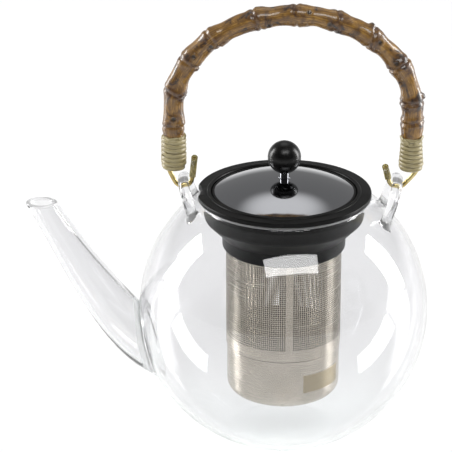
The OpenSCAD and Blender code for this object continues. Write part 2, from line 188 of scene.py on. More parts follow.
def shaded(bm, sharp=None):
    """Normals outward, faces smooth, edges bent by more than sharp degrees crisp."""
    bmesh.ops.recalc_face_normals(bm, faces=bm.faces)
    for face in bm.faces:
        face.smooth = True
    for edge in bm.edges if sharp else ():
        if len(edge.link_faces) == 2 and edge.calc_face_angle(0) > radians(sharp):
            edge.smooth = False


def piece_from(name, verts, faces, finish, sharp=None):
    """Object from points in mm, with its place in its mesh."""
    mesh = bpy.data.meshes.new(name)
    mesh.from_pydata([(x * MM, y * MM, z * MM) for x, y, z in verts], [], faces)
    bm = bmesh.new()
    bm.from_mesh(mesh)
    bmesh.ops.remove_doubles(bm, verts=bm.verts, dist=1e-7)
    shaded(bm, sharp)
    bm.to_mesh(mesh)
    bm.free()
    mesh.materials.append(finish)
    obj = bpy.data.objects.new(name, mesh)
    scene.collection.objects.link(obj)
    return obj


def turned(name, outline, finish, segments=160, sharp=40, x=0.0):
    """Closed outline of (r, z) points in mm, turned round the upright axis."""
    count, verts, faces = len(outline), [], []
    for i in range(segments):
        a = 2 * pi * i / segments
        verts += [(x + r * cos(a), r * sin(a), z) for r, z in outline]
    for i in range(segments):
        here, there = i * count, (i + 1) % segments * count
        for j in range(count):
            k = (j + 1) % count
            (r0, _), (r1, _) = outline[j], outline[k]
            if r0 < 1e-9 and r1 < 1e-9:
                continue
            if r0 < 1e-9:
                faces.append((here + j, there + k, here + k))
            elif r1 < 1e-9:
                faces.append((here + j, there + j, here + k))
            else:
                faces.append((here + j, there + j, there + k, here + k))
    return piece_from(name, verts, faces, finish, sharp)


def skinned(name, rings, finish, looped=False, sharp=None):
    """Closed skin over equal rings; looped joins the last ring to the first."""
    rings = np.asarray(rings, float)
    m, n = rings.shape[:2]
    faces = []
    for j in range(m if looped else m - 1):
        a, b = j * n, (j + 1) % m * n
        faces += [(a + i, a + (i + 1) % n, b + (i + 1) % n, b + i) for i in range(n)]
    verts = [tuple(p) for ring in rings for p in ring]
    if not looped:
        for first in (0, (m - 1) * n):
            verts.append(tuple(np.mean(verts[first:first + n], axis=0)))
            faces += [(first + i, first + (i + 1) % n, len(verts) - 1) for i in range(n)]
    return piece_from(name, verts, faces, finish, sharp)


def tube(path, radii, n=24, side=(0, 1, 0)):
    """Rings square to a path of points; side must not run along the path."""
    path = np.asarray(path, float)
    flow = np.gradient(path, axis=0)
    flow /= np.linalg.norm(flow, axis=1)[:, None]
    e = np.cross(flow, side)
    e /= np.linalg.norm(e, axis=1)[:, None]
    f = np.cross(e, flow)
    turn_on = np.linspace(0, 2 * pi, n, endpoint=False)
    radii = np.broadcast_to(radii, len(path))
    return (path[:, None] + radii[:, None, None]
            * (np.cos(turn_on)[None, :, None] * e[:, None]
               - np.sin(turn_on)[None, :, None] * f[:, None]))


def settle(obj):
    """Turns the modifiers' result into the plain mesh."""
    view = bpy.context.evaluated_depsgraph_get()
    mesh = bpy.data.meshes.new_from_object(obj.evaluated_get(view))
    obj.modifiers.clear()
    obj.data = mesh
    return obj


def carve(obj, tool, how):
    """Unites obj with tool or takes tool away from it, and removes tool."""
    cut = obj.modifiers.new("cut", "BOOLEAN")
    cut.operation, cut.object, cut.solver = how, tool, "MANIFOLD"
    settle(obj)
    bpy.data.objects.remove(tool)
    return obj


def axis_distance(tree, where):
    """Split coordinates, and the distance from the upright axis."""
    spot = put(tree, "SeparateXYZ", {0: where})
    flat_at = put(tree, "CombineXYZ", {0: spot.outputs["X"], 1: spot.outputs["Y"]})
    away = put(tree, "VectorMath", {"operation": "LENGTH", 0: flat_at})
    return spot, away.outputs["Value"]


# Borosilicate, blown and fire-polished: no roughness at all, a trace of grey and
# a slow waviness of a few centimetres. At the rim, the lip of the spout and the
# seams where spout and loops are fused on, the glass is turned milky white: a painted highlight for
# the light that the glass carries along its edges.
clear_glass, tree, where = new_finish("borosilicate_blown")
waves = put(tree, "TexNoise", {"Vector": where, "Scale": 38.0, "Detail": 1.0})
wavy = put(tree, "Bump", {"Strength": 0.10, "Distance": 0.0006, "Height": waves})
spot, from_axis = axis_distance(tree, where)
from_ball = put(tree, "VectorMath", {"operation": "DISTANCE", 0: where, 1: (0, 0, BALL_Z * MM)})
at_rim = put(tree, "MapRange", {
    "Value": spot.outputs["Z"], "From Min": (RIM_Z - 1.655) * MM,
    "From Max": (RIM_Z - 1.155) * MM, "To Max": 0.55})
inside_neck = put(tree, "Math", {"operation": "LESS_THAN", 0: from_axis, 1: (NECK_R + 1) * MM})
at_lip = put(tree, "MapRange", {
    "Value": spot.outputs["Z"], "From Min": 0.1352, "From Max": 0.1366, "To Max": 0.6})
past_lip = put(tree, "Math", {"operation": "LESS_THAN", 0: spot.outputs["X"], 1: -0.1185})
on_seam = put(tree, "Math", {
    "operation": "COMPARE", 0: from_ball.outputs["Value"], 1: (BALL_R + 1.7) * MM, 2: 1.6 * MM})
off_neck = put(tree, "Math", {"operation": "GREATER_THAN", 0: from_axis, 1: (NECK_R + 3) * MM})
seam_painted_glow = put(tree, "Math", {"operation": "MULTIPLY", 0: off_neck, 1: 0.38})
# Painted highlight: how far the glass turns from clear to milky white at the rim, the spout's lip
# and the fused seams
painted_edge_glow = 0.0
for amount, where_it_is in ((at_rim, inside_neck), (at_lip, past_lip), (on_seam, seam_painted_glow)):
    painted_edge_glow = put(tree, "Math", {
        "operation": "MULTIPLY_ADD", 0: amount, 1: where_it_is, 2: painted_edge_glow})
clearness = put(tree, "Math", {"operation": "SUBTRACT", 0: 1.0, 1: painted_edge_glow})
clear = put(tree, "BsdfPrincipled", {
    "Base Color": tone("#f3f3f4"), "Roughness": 0.0, "IOR": 1.474,
    "Transmission Weight": clearness, "Normal": wavy})
lamp_ray = put(tree, "LightPath", {}).outputs["Is Shadow Ray"]
let_by = put(tree, "BsdfTransparent", {"Color": tone("#f4f7f6")})
either = put(tree, "MixShader", {0: lamp_ray, 1: clear, 2: let_by})
put(tree, "OutputMaterial", {"Surface": either})

foot_x = sqrt((BALL_R - FOOT_ROUND) ** 2 - (BALL_Z - FOOT_ROUND) ** 2)
foot_lean = -degrees(atan2(BALL_Z - FOOT_ROUND, foot_x))
fillet_z = BALL_Z + sqrt((BALL_R + 1) ** 2 - (NECK_R + 1) ** 2)
shoulder = degrees(atan2(fillet_z - BALL_Z, NECK_R + 1))
inner_top = degrees(atan2(sqrt((BALL_R - WALL) ** 2 - (NECK_R - WALL) ** 2), NECK_R - WALL))
glass_outline = (
    [(0, 0), (foot_x * 0.5, 0)]
    + arc(foot_x, FOOT_ROUND, FOOT_ROUND, -90, foot_lean, 5)
    + arc(0, BALL_Z, BALL_R, foot_lean, shoulder, 70)[1:]
    + arc(NECK_R + 1, fillet_z, 1, 180 + shoulder, 184, 4)[1:]
    + arc(NECK_R - WALL / 2, RIM_Z - WALL / 2, WALL / 2, 18, 180, 12)
    + arc(0, BALL_Z, BALL_R - WALL, inner_top, foot_lean, 70)
    + arc(foot_x, FOOT_ROUND, FOOT_ROUND - WALL, foot_lean, -90, 5)[1:]
    + [(foot_x * 0.5, WALL), (0, WALL)])
glass = turned("glass_pot", glass_outline, clear_glass, 192, sharp=None)

# The spout runs between an upper and a lower outline, both free curves.
ROOT_DROP, ROOT_R, PORT_R, LIP_R, SPOUT_FLARE = 15, 21, 17.5, 7.65, 1.7
LIP_HEADING, TOP_HEADING, LOW_HEADING = 119, 126, 162


def heading(angle):
    """Unit vector in the plane of the spout, angle in degrees."""
    return np.array([cos(radians(angle)), sin(radians(angle))])


root_out, root_up = heading(180 + ROOT_DROP), heading(90 + ROOT_DROP)
lip_way = heading(LIP_HEADING)
lip_mid, lip_arm = np.array([-133.0, 136.055]), np.array([LIP_R / lip_way[1], 0])


def root_mid(r):
    """Middle of a ring of radius r on the ball, where the spout springs."""
    return np.array([0, BALL_Z]) + root_out * sqrt(BALL_R ** 2 - r ** 2)


def free_curve(p0, p1, p2, p3, t):
    """Point at place t, 0 to 1, on a cubic curve."""
    return (p0 * (1 - t) ** 3 + 3 * p1 * t * (1 - t) ** 2
            + 3 * p2 * t ** 2 * (1 - t) + p3 * t ** 3)


def spout_lines(t):
    """Points of the upper and the lower outline at place t, 0 to 1."""
    top, low = root_mid(ROOT_R) + root_up * ROOT_R, root_mid(ROOT_R) - root_up * ROOT_R
    up_1 = top + 20 * heading(TOP_HEADING)
    low_1 = low + 34 * heading(LOW_HEADING)
    return (free_curve(top, up_1, lip_mid + lip_arm - 20 * lip_way, lip_mid + lip_arm, t),
            free_curve(low, low_1, lip_mid - lip_arm - 45 * lip_way, lip_mid - lip_arm, t))


SPOUT_SIDES = 72
round_spout = np.linspace(0, 2 * pi, SPOUT_SIDES, endpoint=False)


def oval(mid, arm, depth, lift=0.0):
    """Ring round mid: arm is its half width in the plane, depth across it."""
    flat = mid[None] + np.cos(round_spout)[:, None] * arm[None]
    return np.column_stack([flat[:, 0], depth * np.sin(round_spout), flat[:, 1] + lift])


def spout_oval(t, inset, lift=0.0):
    """Ring between both outlines at place t, set in by the wall."""
    up, low = spout_lines(t)
    up_b, low_b = spout_lines(min(t + 0.02, 1))
    up_a, low_a = spout_lines(max(t - 0.02, 0))
    flow = (up_b + low_b - up_a - low_a) / 2
    arm = (up - low) / 2
    size = hypot(*arm)
    skew = abs(arm[0] * flow[1] - arm[1] * flow[0]) / size / hypot(*flow)
    depth = LIP_R + (ROOT_R - LIP_R) * (1 - t) ** SPOUT_FLARE
    return oval((up + low) / 2, arm / size * (size - inset / skew), depth - inset, lift)


def root_oval(r, pulled):
    """Round ring at the root, pulled into the ball."""
    return oval(root_mid(r) - root_out * pulled, root_up * r, r)


steps = [0.008, 0.018, 0.032, 0.05] + [k / 64 for k in range(5, 65)]
outside = ([root_oval(ROOT_R + 1.3, 3.0), root_oval(ROOT_R + 1.0, 0.0)]
           + [spout_oval(t, -0.9 * exp(-t / 0.02)) for t in steps]
           + [spout_oval(1, 0.15, 0.45), spout_oval(1, 0.55, 0.75), spout_oval(1, 1.25, 0.85)])
bore = ([root_oval(PORT_R, 8.0), root_oval(PORT_R, 0.0)]
        + [spout_oval(t, WALL + 0.3 * exp(-t / 0.06)) for t in steps]
        + [spout_oval(1, 2.35, 0.4), spout_oval(1, 1.9, 0.72), spout_oval(1, 1.3, 0.84),
           spout_oval(1, 1.26, 3.0)])
added = skinned("spout_glass", outside, clear_glass)


# A loop of 5.8 mm rod on each shoulder, its feet run out on the ball.
LOOP_LEAN, LOOP_HALF, LOOP_TOP, ROD = 19, 15.5, 150.955, 2.9


def rod_loop(side, top_x):
    lean, half = radians(LOOP_LEAN) * side, LOOP_HALF
    line = [(0, -half, -z) for z in np.linspace(22, 0.5, 30)]
    line += [(0, -half * cos(a), half * sin(a)) for a in np.linspace(0, pi, 49)]
    line += [(0, half, -z) for z in np.linspace(0.5, 22, 30)]
    line = np.array(line) + (0, 0, -half)
    path = np.column_stack([
        side * top_x + line[:, 0] * cos(lean) + line[:, 2] * sin(lean),
        line[:, 1], LOOP_TOP - line[:, 0] * sin(lean) + line[:, 2] * cos(lean)])
    above = np.linalg.norm(path - (0, 0, BALL_Z), axis=1) - BALL_R
    radii = ROD + 0.45 * np.exp(-np.clip(above - 0.6, -1.0, 99))
    plane = (cos(lean), 0, -sin(lean))
    return skinned("loop_glass", tube(path, radii, 32, plane), clear_glass)


for side, top_x in ((-1, 55.3), (1, 61.9)):
    carve(added, rod_loop(side, top_x), "UNION")
middle = turned("middle", arc(0, BALL_Z, BALL_R - 1.2, -90, 90, 64), clear_glass, 128, None)
carve(added, middle, "DIFFERENCE")
carve(glass, added, "UNION")
carve(glass, skinned("bore", bore, clear_glass), "DIFFERENCE")
# The cuts leave slivers under 0.002 mm wide, which are closed up
bm = bmesh.new()
bm.from_mesh(glass.data)
bmesh.ops.remove_doubles(bm, verts=bm.verts, dist=2e-6)
bmesh.ops.dissolve_degenerate(bm, dist=2e-6, edges=bm.edges)
for face in bm.faces:
    face.smooth = True
bm.to_mesh(glass.data)
bm.free()
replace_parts(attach(glass, "pot"), *GLASS_NODES)


# ---------------------------------------------------------------- infuser frame
# Injection-moulded black plastic. A wide flange lies on the glass rim, a plug
# fills the neck, and a cone narrows to the collar that grips the strainer.
# A scallop in the flange clears the front hook; a mould line runs down in front.

FLANGE_Z, FLANGE_TOP, FLANGE_R = 141.105, 143.905, 47.9
PLUG_R, PLUG_Z, CONE_Z = 43.4, 128.105, 119.105
COLLAR_R, COLLAR_Z = 33.8, 111.605
SEAT_R, LEDGE_Z = 40.0, 134.605
SLEEVE_R, SLEEVE_TOP = 31.8, 120.605


def eased(outline, radius, steps=4):
    """Closed outline with each corner rounded by up to radius."""
    out, count = [], len(outline)
    for i, point in enumerate(outline):
        p = np.array(point, float)
        before, after = np.array(outline[i - 1], float), np.array(outline[(i + 1) % count], float)
        r = min(radius, 0.42 * np.linalg.norm(before - p), 0.42 * np.linalg.norm(after - p))
        a = p + (before - p) / np.linalg.norm(before - p) * r
        b = p + (after - p) / np.linalg.norm(after - p) * r
        for k in range(steps + 1):
            t = k / steps
            out.append(tuple(a * (1 - t) ** 2 + 2 * p * t * (1 - t) + b * t ** 2))
    return out


# Polypropylene with a fine spark-eroded grain of about 0.3 mm: black, satin,
# a little shinier where hands and cloths rub it.
black_plastic, tree, where = new_finish("polypropylene_satin")
grain = put(tree, "TexNoise", {"Vector": where, "Scale": 2600.0, "Detail": 3.0})
rub = put(tree, "TexNoise", {"Vector": where, "Scale": 70.0, "Detail": 2.0})
satin = put(tree, "MapRange", {
    "Value": rub, "From Min": 0.3, "From Max": 0.7, "To Min": 0.34, "To Max": 0.47})
shade = put(tree, "ValToRGB", {
    "Fac": grain, "stops": [(0.3, tone("#050505")), (0.7, tone("#0e0e0d"))]})
pitted = put(tree, "Bump", {"Strength": 0.22, "Distance": 0.00008, "Height": grain})
black = put(tree, "BsdfPrincipled", {
    "Base Color": shade, "Roughness": satin, "IOR": 1.49,
    "Specular IOR Level": 0.14, "Normal": pitted})
put(tree, "OutputMaterial", {"Surface": black})

frame_outline = eased([
    (SEAT_R, FLANGE_TOP), (SEAT_R + 0.5, FLANGE_TOP + 0.7), (SEAT_R + 1.9, FLANGE_TOP + 0.7),
    (SEAT_R + 2.4, FLANGE_TOP), (FLANGE_R - 0.3, FLANGE_TOP), (FLANGE_R, FLANGE_TOP - 0.5),
    (FLANGE_R, FLANGE_Z + 0.4), (FLANGE_R - 0.4, FLANGE_Z), (PLUG_R, FLANGE_Z),
    (PLUG_R, PLUG_Z + 1.2), (PLUG_R - 0.5, PLUG_Z), (COLLAR_R, CONE_Z),
    (COLLAR_R, COLLAR_Z + 1.2), (COLLAR_R - 0.8, COLLAR_Z), (SLEEVE_R + 0.05, COLLAR_Z),
    (SLEEVE_R + 0.05, SLEEVE_TOP + 0.05), (SLEEVE_R - 1, SLEEVE_TOP + 0.05),
    (SLEEVE_R - 1, SLEEVE_TOP + 1.5), (SEAT_R - 3, PLUG_Z + 2.5), (SEAT_R - 3, LEDGE_Z),
    (SEAT_R, LEDGE_Z)], 0.8)
moulding = turned("frame_moulding", frame_outline, black_plastic, 192)
NOTCH_HALF, NOTCH_DEEP = 11, 2.2
notch_r = (NOTCH_HALF ** 2 + NOTCH_DEEP ** 2) / (2 * NOTCH_DEEP)
scallop = turned("scallop", [(0, 139.5), (notch_r, 139.5), (notch_r, 150), (0, 150)],
                 black_plastic, 160, x=NOTCH_DEEP - FLANGE_R - notch_r)
carve(moulding, scallop, "DIFFERENCE")

# Mould line: a hair-thin bead down the front edge of the flange
front_line = [(FLANGE_R + 0.03, FLANGE_TOP - 0.6), (FLANGE_R + 0.03, FLANGE_Z + 0.5),
              (FLANGE_R - 0.5, FLANGE_Z)]
bead_path = [(0.35, -r, z) for r, z in front_line]
fin = skinned("mould_line", tube(bead_path, 0.16, 8, (1, 0, 0)), black_plastic)
carve(moulding, fin, "UNION")
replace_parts(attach(moulding, "infuser"), "infuser_frame")


# ---------------------------------------------------------------- strainer
# Stainless sheet punched with 0.8 mm round holes on a 1.2 mm square pitch,
# rolled and spot-welded along one plain seam, over a plain drawn cup. The holes
# are drawn 0.88 mm wide so that they show.

SHEET, PERF_LOW, PERF_TOP = 0.5, 61.6, 112.0
SEAM_W, SEAM_TURN, SLEEVE_LOW = 3.8, -84.3, 55.0
ROWS, COLUMNS = 42, 82
seam_arc = SEAM_W / SLEEVE_R
half_arc = (2 * pi - seam_arc) / 2
across_pitch = half_arc * (SLEEVE_R - SHEET) / COLUMNS

# Stainless 304, brushed round the can: warm grey, lines about 0.15 mm apart,
# drawn 0.4 mm apart so that they show.
brushed, tree, where = new_finish("stainless_brushed")
lines_at = put(tree, "Mapping", {"Vector": where, "Scale": (30, 30, 2400)})
lines = put(tree, "TexNoise", {"Vector": lines_at, "Scale": 1.0, "Detail": 3.0, "Roughness": 0.65})
clouds = put(tree, "TexNoise", {"Vector": where, "Scale": 60.0, "Detail": 3.0})
warm = put(tree, "ValToRGB", {
    "Fac": clouds, "stops": [(0.35, tone("#b5aea2")), (0.65, tone("#c0b9ad"))]})
dull = put(tree, "MapRange", {
    "Value": lines, "From Min": 0.3, "From Max": 0.7, "To Min": 0.24, "To Max": 0.28})
scored = put(tree, "Bump", {"Strength": 0.02, "Distance": 0.00004, "Height": lines})
spot, from_axis = axis_distance(tree, where)
# Inside the sleeve, above the cup, the steel is painted almost black (#1d1a18): painted shade for
# the dark inside of the can, seen through the holes
within = put(tree, "Math", {"operation": "LESS_THAN", 0: from_axis, 1: (SLEEVE_R - 0.34) * MM})
above_cup = put(tree, "Math", {
    "operation": "GREATER_THAN", 0: spot.outputs["Z"], 1: (SLEEVE_LOW - 0.5) * MM})
painted_shade_inside = put(tree, "Math", {"operation": "MULTIPLY", 0: within, 1: above_cup})
warm = put(tree, "Mix", {"data_type": "RGBA", 0: painted_shade_inside, 6: warm, 7: tone("#1d1a18")})
steel = put(tree, "BsdfPrincipled", {
    "Base Color": warm.outputs[2], "Metallic": 1.0, "Roughness": dull, "Normal": scored})
put(tree, "OutputMaterial", {"Surface": steel})


def new_tree(name, sizes):
    """Geometry tree with named inputs: gives tree, inputs and the end socket."""
    tree = bpy.data.node_groups.new(name, "GeometryNodeTree")
    tree.interface.new_socket("Geometry", in_out="INPUT", socket_type="NodeSocketGeometry")
    for label, kind in sizes.items():
        tree.interface.new_socket(label, in_out="INPUT", socket_type="NodeSocket" + kind)
    tree.interface.new_socket("Geometry", in_out="OUTPUT", socket_type="NodeSocketGeometry")
    given = tree.nodes.new("NodeGroupInput").outputs
    return tree, given, tree.nodes.new("NodeGroupOutput").inputs[0]


def grow(obj, tree, values):
    """Runs a geometry tree on obj with values, and keeps the plain mesh."""
    worker = obj.modifiers.new(tree.name, "NODES")
    worker.node_group = tree
    for socket in tree.interface.items_tree:
        if socket.in_out == "INPUT" and socket.name in values:
            worker[socket.identifier] = values[socket.name]
    return settle(obj)


def empty_piece(name):
    """Object with no mesh yet, for a geometry tree to fill."""
    obj = bpy.data.objects.new(name, bpy.data.meshes.new(name))
    scene.collection.objects.link(obj)
    return obj


def outward_again(obj, finish, sharp=30):
    """Shades a grown mesh anew and leaves it one material."""
    bm = bmesh.new()
    bm.from_mesh(obj.data)
    shaded(bm, sharp)
    for face in bm.faces:
        face.material_index = 0
    bm.to_mesh(obj.data)
    bm.free()
    obj.data.materials.clear()
    obj.data.materials.append(finish)
    return obj


punch, given, end = new_tree("punched_sheet", {
    "Columns": "Int", "Rows": "Int", "Pitch Across": "Float", "Pitch Up": "Float",
    "Hole Radius": "Float", "Radius": "Float", "Thickness": "Float",
    "Start Turn": "Float", "Start Height": "Float"})
hole = put(punch, "GeometryNodeCurvePrimitiveCircle", {
    "mode": "RADIUS", "Resolution": 8, "Radius": given["Hole Radius"]})
cell = put(punch, "GeometryNodeCurvePrimitiveQuadrilateral", {
    "mode": "RECTANGLE", "Width": given["Pitch Across"], "Height": given["Pitch Up"]})
pair = put(punch, "GeometryNodeJoinGeometry", {"Geometry": [hole, cell]})
tile = put(punch, "GeometryNodeFillCurve", {"Curve": pair})
spans = []
for count, pitch in (("Columns", "Pitch Across"), ("Rows", "Pitch Up")):
    less = put(punch, "Math", {"operation": "SUBTRACT", 0: given[count], 1: 1.0})
    spans.append(put(punch, "Math", {
        "operation": "MULTIPLY", 0: less, 1: given[pitch]}))
grid = put(punch, "GeometryNodeMeshGrid", {
    "Size X": spans[0], "Size Y": spans[1],
    "Vertices X": given["Columns"], "Vertices Y": given["Rows"]})
laid = put(punch, "GeometryNodeInstanceOnPoints", {"Points": grid, "Instance": tile})
flat = put(punch, "GeometryNodeMergeByDistance", {
    "Geometry": put(punch, "GeometryNodeRealizeInstances", {0: laid}),
    "Distance": 2e-5})
spot = put(punch, "SeparateXYZ", {0: put(punch, "GeometryNodeInputPosition", {})})
turned_by = put(punch, "Math", {"operation": "DIVIDE", 0: spot.outputs["X"], 1: given["Radius"]})
at_turn = put(punch, "Math", {"operation": "ADD", 0: turned_by, 1: given["Start Turn"]})
at_height = put(punch, "Math", {
    "operation": "ADD", 0: spot.outputs["Y"], 1: given["Start Height"]})
legs = [put(punch, "Math", {
    "operation": "MULTIPLY", 1: given["Radius"],
    0: put(punch, "Math", {"operation": way, 0: at_turn})})
    for way in ("COSINE", "SINE")]
on_can = put(punch, "CombineXYZ", {0: legs[0], 1: legs[1], 2: at_height})
rolled = put(punch, "GeometryNodeSetPosition", {"Geometry": flat, "Position": on_can})
level = put(punch, "VectorMath", {
    "operation": "MULTIPLY", 0: put(punch, "GeometryNodeInputPosition", {}),
    1: (1, 1, 0)})
outward = put(punch, "VectorMath", {"operation": "NORMALIZE", 0: level})
thick = put(punch, "GeometryNodeExtrudeMesh", {
    "mode": "FACES", "Mesh": rolled, "Offset": outward,
    "Offset Scale": given["Thickness"], "Individual": False})
back = put(punch, "GeometryNodeFlipFaces", {"Mesh": rolled})
both = put(punch, "GeometryNodeJoinGeometry", {"Geometry": [thick, back]})
shell = put(punch, "GeometryNodeMergeByDistance", {"Geometry": both, "Distance": 1e-5})
done = put(punch, "GeometryNodeSetMaterial", {
    "Geometry": put(punch, "GeometryNodeRealizeInstances", {0: shell}),
    "Material": brushed})
punch.links.new(done.outputs[0], end)

for which, name in enumerate(("strainer_holes_right", "strainer_holes_left")):
    start = radians(SEAM_TURN) + seam_arc / 2 + half_arc * (which + 0.5)
    half = grow(empty_piece(name), punch, {
        "Columns": COLUMNS, "Rows": ROWS, "Pitch Across": across_pitch * MM,
        "Pitch Up": (PERF_TOP - PERF_LOW) / ROWS * MM, "Hole Radius": 0.44 * MM,
        "Radius": (SLEEVE_R - SHEET) * MM, "Thickness": SHEET * MM, "Start Turn": start,
        "Start Height": (PERF_LOW + PERF_TOP) / 2 * MM})
    outward_again(half, brushed)
    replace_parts(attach(half, "infuser"), "strainer_sleeve")


# Plain lower and upper bands, and the seam with its row of spot welds.
seam = radians(SEAM_TURN)


def seam_plate(name, low, high, outer):
    """Curved plate one sheet thick and as wide as the seam."""
    inner = outer - SHEET
    return skinned(name, [
        [(r * cos(a), r * sin(a), z)
         for r, z in ((inner, low), (outer, low), (outer, high), (inner, high))]
        for a in np.linspace(seam - seam_arc / 2, seam + seam_arc / 2, 9)], brushed, sharp=30)


def bump(r, turn_to, away, z, finish, steps, sides):
    """Small ball of radius r, sunk in the can so that a low bump shows."""
    ball = turned("bump", arc(0, z, r, -90, 90, steps), finish, sides, None)
    ball.data.transform(Matrix.Translation(
        Vector((away * cos(turn_to), away * sin(turn_to), 0)) * MM))
    return ball


bands = turned("strainer_bands", [
    (SLEEVE_R - SHEET, SLEEVE_LOW), (SLEEVE_R, SLEEVE_LOW + 0.05),
    (SLEEVE_R, PERF_LOW), (SLEEVE_R - SHEET, PERF_LOW)], brushed, 192)
collar_band = turned("collar_band", [
    (SLEEVE_R - SHEET, PERF_TOP), (SLEEVE_R, PERF_TOP), (SLEEVE_R, SLEEVE_TOP),
    (SLEEVE_R - SHEET, SLEEVE_TOP)], brushed, 192)
strip = seam_plate("seam_strip", PERF_LOW, PERF_TOP, SLEEVE_R)
lap = seam_plate("seam_lap", PERF_LOW + 0.5, COLLAR_Z - 1, SLEEVE_R - SHEET)
welds = [bump(0.55, seam, SLEEVE_R - 0.42, z, brushed, 5, 10) for z in np.arange(65.0, 111.0, 6.0)]


def gathered(main, others):
    """Joins meshes that are one piece of the real thing."""
    bm = bmesh.new()
    bm.from_mesh(main.data)
    for other in others:
        bm.from_mesh(other.data)
        bpy.data.objects.remove(other)
    bm.to_mesh(main.data)
    bm.free()
    return main


gathered(bands, [collar_band, strip, lap] + welds)
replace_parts(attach(bands, "infuser"), "strainer_sleeve")

# Drawn cup, with an unlettered etched patch on the right and two small stops
# pressed in the bottom edge in front.
CUP_R, CUP_Z, CUP_ROUND, CUP_TOP = 31.25, 26.0, 6.0, 61.0
PATCH_TURN, PATCH_HALF_TURN, PATCH_Z, PATCH_HALF_H = -44.6, 24.6, 40.6, 5.2
cup_finish = brushed.copy()
cup_finish.name = "stainless_etched_patch"
tree = cup_finish.node_tree
where = tree.nodes["Texture Coordinate"].outputs["Object"]
spot = put(tree, "SeparateXYZ", {0: where})
round_can = put(tree, "Math", {"operation": "ARCTAN2", 0: spot.outputs["Y"], 1: spot.outputs["X"]})
beside = put(tree, "Math", {
    "operation": "COMPARE", 0: round_can, 1: radians(PATCH_TURN),
    2: radians(PATCH_HALF_TURN)})
beneath = put(tree, "Math", {
    "operation": "COMPARE", 0: spot.outputs["Z"], 1: PATCH_Z * MM,
    2: PATCH_HALF_H * MM})
in_patch = put(tree, "Math", {"operation": "MULTIPLY", 0: beside, 1: beneath})
shader = tree.nodes["Principled BSDF"]
duller = put(tree, "Math", {
    "operation": "MULTIPLY_ADD", 0: in_patch, 1: 0.16,
    2: shader.inputs["Roughness"].links[0].from_socket})
tree.links.new(duller.outputs[0], shader.inputs["Roughness"])
pale = put(tree, "Mix", {
    "data_type": "RGBA", 0: in_patch, 7: tone("#a3977e"),
    6: shader.inputs["Base Color"].links[0].from_socket})
tree.links.new(pale.outputs[2], shader.inputs["Base Color"])
cup_outline = (
    [(0, CUP_Z), (12, CUP_Z)] + arc(CUP_R - CUP_ROUND, CUP_Z + CUP_ROUND, CUP_ROUND, -90, 0, 12)
    + [(CUP_R, 45), (CUP_R, CUP_TOP - 0.1), (CUP_R - 0.1, CUP_TOP), (CUP_R - 0.4, CUP_TOP),
       (CUP_R - SHEET, CUP_TOP - 0.1), (CUP_R - SHEET, 45)]
    + arc(CUP_R - CUP_ROUND, CUP_Z + CUP_ROUND, CUP_ROUND - SHEET, 0, -90, 12)
    + [(12, CUP_Z + SHEET), (0, CUP_Z + SHEET)])
cup = turned("strainer_cup_drawn", cup_outline, cup_finish, 192)
stops = [bump(1.3, radians(a), 29.2, CUP_Z + 2.5, cup_finish, 8, 16) for a in (-90, -81)]
gathered(cup, stops)
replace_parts(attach(cup, "infuser"), "strainer_cup")


# ---------------------------------------------------------------- lid
# A black plastic ring and plate carry a mirror-polished stainless dome. The
# ring drops into the infuser frame; a hub under the dome guides the rod.

SKIRT_R, DOME_R, DOME_Z, DOME_TOP = 39.6, 38.2, 143.905, 151.505
ROD_R, HUB_R = 2.5, 6.0
plate_z = DOME_Z - 3
lid_outline = eased([
    (ROD_R + 0.05, plate_z - 5), (HUB_R, plate_z - 5), (HUB_R, plate_z), (SKIRT_R - 3, plate_z),
    (SKIRT_R - 3, LEDGE_Z), (SKIRT_R, LEDGE_Z), (SKIRT_R, DOME_Z - 0.3),
    (SKIRT_R - 0.4, DOME_Z), (DOME_R - 1, DOME_Z), (DOME_R - 1, plate_z + 1.6),
    (HUB_R, plate_z + 1.6), (HUB_R - 1, DOME_TOP - 1.0), (ROD_R + 0.05, DOME_TOP - 1.0)], 0.5, 3)
lid_ring = turned("lid_ring", lid_outline, black_plastic, 160)
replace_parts(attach(lid_ring, "lid"), "lid_base")

# Stainless, spun and mirror-polished: nearly smooth, with faint rings left by
# the polishing wheel, drawn about 0.8 mm apart.
polished, tree, where = new_finish("stainless_polished")
from_axis = axis_distance(tree, where)[1]
rings = put(tree, "TexNoise", {
    "noise_dimensions": "1D", "W": from_axis, "Scale": 1250.0, "Detail": 2.0})
smears = put(tree, "TexNoise", {"Vector": where, "Scale": 45.0, "Detail": 4.0})
gloss = put(tree, "MapRange", {
    "Value": smears, "From Min": 0.3, "From Max": 0.7, "To Min": 0.05, "To Max": 0.1})
ringed = put(tree, "Bump", {"Strength": 0.05, "Distance": 0.00002, "Height": rings})
mirror = put(tree, "BsdfPrincipled", {
    "Base Color": tone("#9a9b9e"), "Metallic": 1.0, "Roughness": gloss, "Normal": ringed})
put(tree, "OutputMaterial", {"Surface": mirror})


def dome_z(r):
    """Height of the dome, which rolls down a little faster towards its edge."""
    return DOME_Z + (DOME_TOP - DOME_Z) * (1 - (r / DOME_R) ** 2.25)


dome_rs = np.linspace(ROD_R + 0.5, DOME_R - 0.05, 40)
dome_outline = ([(r, dome_z(r)) for r in dome_rs] + [(DOME_R - 0.15, DOME_Z)]
                + [(r - 0.3, dome_z(r) - 0.6) for r in dome_rs[-3::-1]])
dome = turned("lid_dome", dome_outline, polished, 192)
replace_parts(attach(dome, "lid"), "lid_cap")


# ---------------------------------------------------------------- plunger
# A black ball on a stainless rod. The rod passes through the lid to a press
# plate with a silicone ring, held by a hexagon nut.

